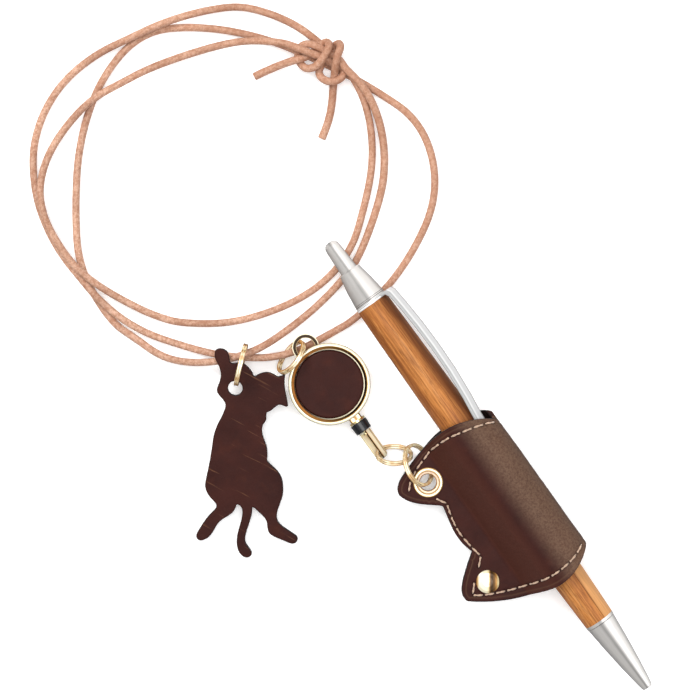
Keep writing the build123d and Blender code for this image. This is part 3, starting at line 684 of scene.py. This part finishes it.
def outline_points(mesh):
    """The sleeve's outline seen from above, as points on the upright cut edges of its CAD mesh."""
    spots, found = vertices_of(mesh), []
    for face in mesh.polygons:
        beside_fold = abs(face.normal.x) > 0.9 and face.center.x > 20 * MM
        if abs(face.normal.z) < 0.05 and not beside_fold:
            found.extend(spots[list(face.vertices)][:, :2])
    return np.array(found)


def smooth_step(values, low, high):
    share = np.clip((values - low) / (high - low), 0, 1)
    return share * share * (3 - 2 * share)


def make_charm():
    """The cat, cut from waxed leather with a thinner backing, both with rounded edges that show
    wear.
    """
    for node, lift in (("cat_charm", 0.16), ("charm_backing", 0.06)):
        mesh = skin_of([node], 0.2 * MM, 3)
        spots, ways = vertices_of(mesh), normals_of(mesh)
        upright = np.abs(ways @ np.array(CHARM_UP))
        set_mark(mesh, "edge", 1 - smooth_step(upright, 0.45, 0.85))
        for vertex, way in zip(mesh.vertices, ways):
            spot = vertex.co
            swell = noise.noise(spot * 140) * lift + noise.noise(spot * 700) * 0.05
            moved = spot + Vector(way) * (swell * MM * 0.5)
            vertex.co = (moved.x, moved.y, max(moved.z, LOWEST))
        name = "cat_leather" if node == "cat_charm" else "cat_backing"
        material = "scratched_leather" if node == "cat_charm" else "dark_leather"
        add_piece(name, mesh, "charm", "dark_leather", material, [node])


def stitch_ends():
    """The two ends of each stitch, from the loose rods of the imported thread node."""
    build = bmesh.new()
    build.from_mesh(NODES["sleeve_stitching"].data)
    bmesh.ops.remove_doubles(build, verts=build.verts, dist=1e-7)
    seen, ends = set(), []
    for first in build.verts:
        if first in seen:
            continue
        seen.add(first)
        stack, rod = [first], []
        while stack:
            vertex = stack.pop()
            rod.append(vertex.co.copy())
            for edge in vertex.link_edges:
                other = edge.other_vert(vertex)
                if other not in seen:
                    seen.add(other)
                    stack.append(other)
        spots = np.array(rod)
        middle = spots.mean(0)
        axis = np.linalg.svd(spots - middle)[2][0]
        along = (spots - middle) @ axis
        ends.append((Vector(middle + axis * along.min()), Vector(middle + axis * along.max())))
    build.free()
    return ends


def make_sleeve():
    """The folded sleeve: leather and lining as one soft skin, pulled in by its thread."""
    mesh = skin_of(["sleeve_leather", "sleeve_lining"], 0.22 * MM, 3)
    spots, ways = vertices_of(mesh), normals_of(mesh)
    x, z = spots[:, 0], spots[:, 2]
    cut = np.where(x > 11 * MM, np.abs(ways[:, 1]), np.hypot(ways[:, 0], ways[:, 1]))
    cut = smooth_step(cut, 0.5, 0.85)
    out_x, out_z = x - PEN_X, z - PEN_Z
    facing = out_x * ways[:, 0] + out_z * ways[:, 2]
    inside = (x > 12 * MM) & (facing < 0) & (np.hypot(out_x, out_z) < 9.5 * MM) & (cut < 0.5)
    outline = KDTree2(outline_points(NODES["sleeve_leather"].data))
    inset = outline.distances(spots[:, :2])
    top = (~inside) & (cut < 0.5)
    crease = np.exp(-(((inset - CREASE_INSET) / (0.16 * MM)) ** 2)) * top
    ends = stitch_ends()
    along = [a.lerp(b, share)[:2] for a, b in ends for share in (0, 0.25, 0.5, 0.75, 1)]
    seam = np.exp(-((KDTree2(along).distances(spots[:, :2]) / (0.7 * MM)) ** 2)) * top
    pricks = KDTree2([end[:2] for pair in ends for end in pair]).distances(spots[:, :2])
    holes = np.exp(-((pricks / (0.42 * MM)) ** 2)) * top
    fold = smooth_step(x, 19.0 * MM, 25.5 * MM) * (1 - smooth_step(x, 30.5 * MM, 32.6 * MM))
    fold = fold * (z > PEN_Z) * top
    set_mark(mesh, "edge", cut)
    set_mark(mesh, "inside", inside)
    set_mark(mesh, "crease", crease * 0.35)
    # The rounded top of the fold gets painted sheen with some wear.
    set_mark(mesh, "wear_and_painted_sheen", fold * 0.85)
    # Painted light on faces sloping towards -X.
    set_mark(mesh, "painted_slope_light", smooth_step(-ways[:, 0], 0.1, 0.75) * top)
    # Painted shade in the stitch holes, where the thread goes in.
    set_mark(mesh, "stitch_hole_shade", holes * 0.9)
    sink = crease * 0.10 + seam * 0.12 + holes * 0.15
    for i, vertex in enumerate(mesh.vertices):
        spot = vertex.co
        swell = noise.noise(spot * 110) * 0.10 + noise.noise(spot * 520) * 0.05
        if inside[i] or cut[i] > 0.5:
            swell *= 0.3
        moved = spot + Vector(ways[i]) * ((swell - sink[i]) * MM)
        vertex.co = (moved.x, moved.y, max(moved.z, LOWEST))
    leathers = ["sleeve_leather", "sleeve_lining"]
    return add_piece("sleeve_skin", mesh, "sleeve", "dark_leather", None, leathers)


class KDTree2:
    """Distances from many points to the nearest of a set, in the plane."""

    def __init__(self, points):
        self.tree = KDTree(len(points))
        for i, (x, y) in enumerate(points):
            self.tree.insert((x, y, 0), i)
        self.tree.balance()

    def distances(self, points):
        return np.array([self.tree.find((x, y, 0))[2] for x, y in points])


PLY_R = 0.145 * MM


def make_thread(sleeve):
    """Two-ply stitches that dip into the leather at both ends, on the face and on the back."""
    tree = BVHTree.FromObject(sleeve, bpy.context.evaluated_depsgraph_get())
    build = bmesh.new()
    for a, b in stitch_ends():
        for way in (-1, 1):
            start = 20 * MM if way < 0 else -5 * MM
            line = []
            for i in range(9):
                share = i / 8
                over = a.lerp(b, -0.06 + 1.12 * share)
                hit = tree.ray_cast(Vector((over.x, over.y, start)), Vector((0, 0, way)))
                if hit[0] is None:
                    break
                rise = (0.30 * math.sin(math.pi * share) ** 0.5 - 0.12) * MM
                line.append((hit[0], hit[1], rise))
            if len(line) < 9:
                continue
            along = (b - a).normalized()
            for ply in (0, 1):
                path = []
                for i, (spot, out, rise) in enumerate(line):
                    turn = math.pi * (ply + 1.6 * i / 8)
                    side = along.cross(out).normalized()
                    lift = out * (rise + 0.11 * MM * math.cos(turn))
                    path.append(spot + lift + side * (0.13 * MM * math.sin(turn)))
                tube_mesh(build, path, PLY_R, 7)
    mesh = bpy.data.meshes.new("thread")
    build.to_mesh(mesh)
    build.free()
    add_piece("sleeve_thread", mesh, "sleeve", "beige_thread", None, ["sleeve_stitching"])


def make_inlay():
    """A leather disc, slightly crowned, with an edge that rolls down into the tray."""
    low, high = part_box("leather_inlay")
    radius, middle = (high.x - low.x) / 2, (high + low) / 2
    steps, around = 46, 120
    build = bmesh.new()
    centre = build.verts.new((middle.x, middle.y, high.z - 0.05 * MM))
    rings = []
    for i in range(1, steps + 1):
        share = i / steps
        drop = 0.05 + 0.35 * max(0.0, (share - 0.93) / 0.07) ** 2
        ring = []
        for k in range(around):
            angle = 2 * math.pi * k / around
            x = middle.x + radius * share * math.cos(angle)
            y = middle.y + radius * share * math.sin(angle)
            spot = Vector((x, y, 0))
            lump = noise.noise(spot * 260) * 0.05 + noise.noise(spot * 1400) * 0.012
            ring.append(build.verts.new((x, y, high.z - (drop - lump * (1 - share**6)) * MM)))
        rings.append(ring)
    foot = [build.verts.new((v.co.x, v.co.y, low.z)) for v in rings[-1]]
    rings.append(foot)
    for k in range(around):
        build.faces.new((centre, rings[0][k], rings[0][(k + 1) % around]))
    for a, b in zip(rings, rings[1:]):
        for k in range(around):
            build.faces.new((a[k], b[k], b[(k + 1) % around], a[(k + 1) % around]))
    build.faces.new(list(reversed(foot)))
    mesh = bpy.data.meshes.new("inlay")
    build.to_mesh(mesh)
    build.free()
    add_piece("inlay_leather", mesh, "reel", "dark_leather", None, ["leather_inlay"])


# ---- the pull line ------------------------------------------------------------------------------
STRAND_R = 0.17 * MM


def make_line():
    """The braided line, which pays out of the reel when pulled; here it is built at its resting
    length only.
    """
    low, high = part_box("pull_line")
    middle = (low + high) / 2
    inner = Vector((middle.x, -8.6 * MM, middle.z))
    outer = Vector((middle.x, low.y - 0.2 * MM, middle.z))
    build = bmesh.new()
    for strand in range(3):
        path = []
        for i in range(61):
            turn = 2 * math.pi * (strand / 3 + 3.5 * i / 60)
            ring = Vector((math.cos(turn), 0, math.sin(turn))) * STRAND_R
            path.append(inner.lerp(outer, i / 60) + ring)
        tube_mesh(build, path, STRAND_R, 8)
    mesh = bpy.data.meshes.new("line")
    build.to_mesh(mesh)
    build.free()
    piece = bpy.data.objects.new("braided_line", mesh)
    SCENE.collection.objects.link(piece)
    mesh.materials.append(MATERIALS["black_line"])
    mesh.shade_smooth()
    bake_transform(piece)
    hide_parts("pull_line")


# ---- build ------------------------------------------------------------------------------------
finish_cad_nodes()
cord = make_cord()
cord.data.materials.append(MATERIALS["tan_cord_leather"])
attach(cord, "neck_cord")
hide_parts("neck_cord", "tail_left", "tail_right", "knot_left", "knot_right")
make_charm()
sleeve = make_sleeve()
make_thread(sleeve)
make_inlay()
make_line()

floor_mesh = bpy.data.meshes.new("floor")
floor_build = bmesh.new()
bmesh.ops.create_grid(floor_build, x_segments=1, y_segments=1, size=1.5)
floor_build.to_mesh(floor_mesh)
floor_build.free()
floor = bpy.data.objects.new("floor", floor_mesh)
SCENE.collection.objects.link(floor)
paper = Paint("white_floor")
paper.set(
    Base_Color=(0.9, 0.9, 0.9), Roughness=0.8, Emission_Color=(1, 1, 1), Emission_Strength=0.3
)
floor.location.z = -0.05 * MM
floor_mesh.materials.append(paper.material)
floor.visible_glossy = False
